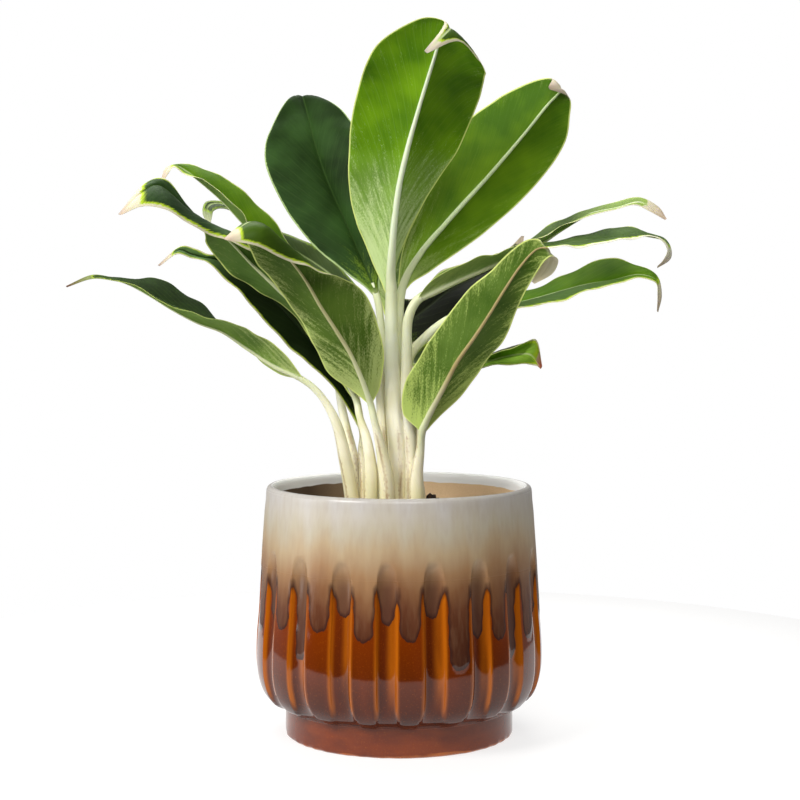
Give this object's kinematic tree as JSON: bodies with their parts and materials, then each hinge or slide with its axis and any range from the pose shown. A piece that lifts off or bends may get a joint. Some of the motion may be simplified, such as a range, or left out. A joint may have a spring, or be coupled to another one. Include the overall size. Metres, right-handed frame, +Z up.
{
  "type": "potted plant",
  "caption": "Chinese evergreen with broad pointed leaves on pale stalks, in soil, in a round glazed stoneware pot with vertical flutes and a plain foot.",
  "frame": {"origin": "middle of the flat underside of the pot's foot", "axes": "+Z up along the pot's axis, -Y towards the side that the picture shows"},
  "size_m": [0.3158, 0.245, 0.3708],
  "materials": {
    "glaze": "gloss",
    "soil": "matte",
    "leaf": "satin",
    "stalk": "satin"
  },
  "bodies": {
    "root": {"pot": "glaze", "soil": "soil", "leaf_crown": "leaf", "leaf_left_tall": "leaf", "leaf_right_tall": "leaf", "leaf_front_left": "leaf", "leaf_hood": "leaf", "leaf_left_arch": "leaf", "leaf_left_reach": "leaf", "leaf_left_dark": "leaf", "leaf_left_back": "leaf", "leaf_front_right": "leaf", "leaf_right_thin": "leaf", "leaf_right_flat": "leaf", "leaf_right_arch": "leaf", "leaf_right_low": "leaf", "leaf_right_back": "leaf", "leaf_back": "leaf", "stalk_crown": "stalk", "stalk_left_tall": "stalk", "stalk_right_tall": "stalk", "stalk_front_left": "stalk", "stalk_hood": "stalk", "stalk_left_arch": "stalk", "stalk_left_reach": "stalk", "stalk_left_dark": "stalk", "stalk_left_back": "stalk", "stalk_front_right": "stalk", "stalk_right_thin": "stalk", "stalk_right_flat": "stalk", "stalk_right_arch": "stalk", "stalk_right_low": "stalk", "stalk_right_back": "stalk", "stalk_back": "stalk"}
  },
  "joints": []
}
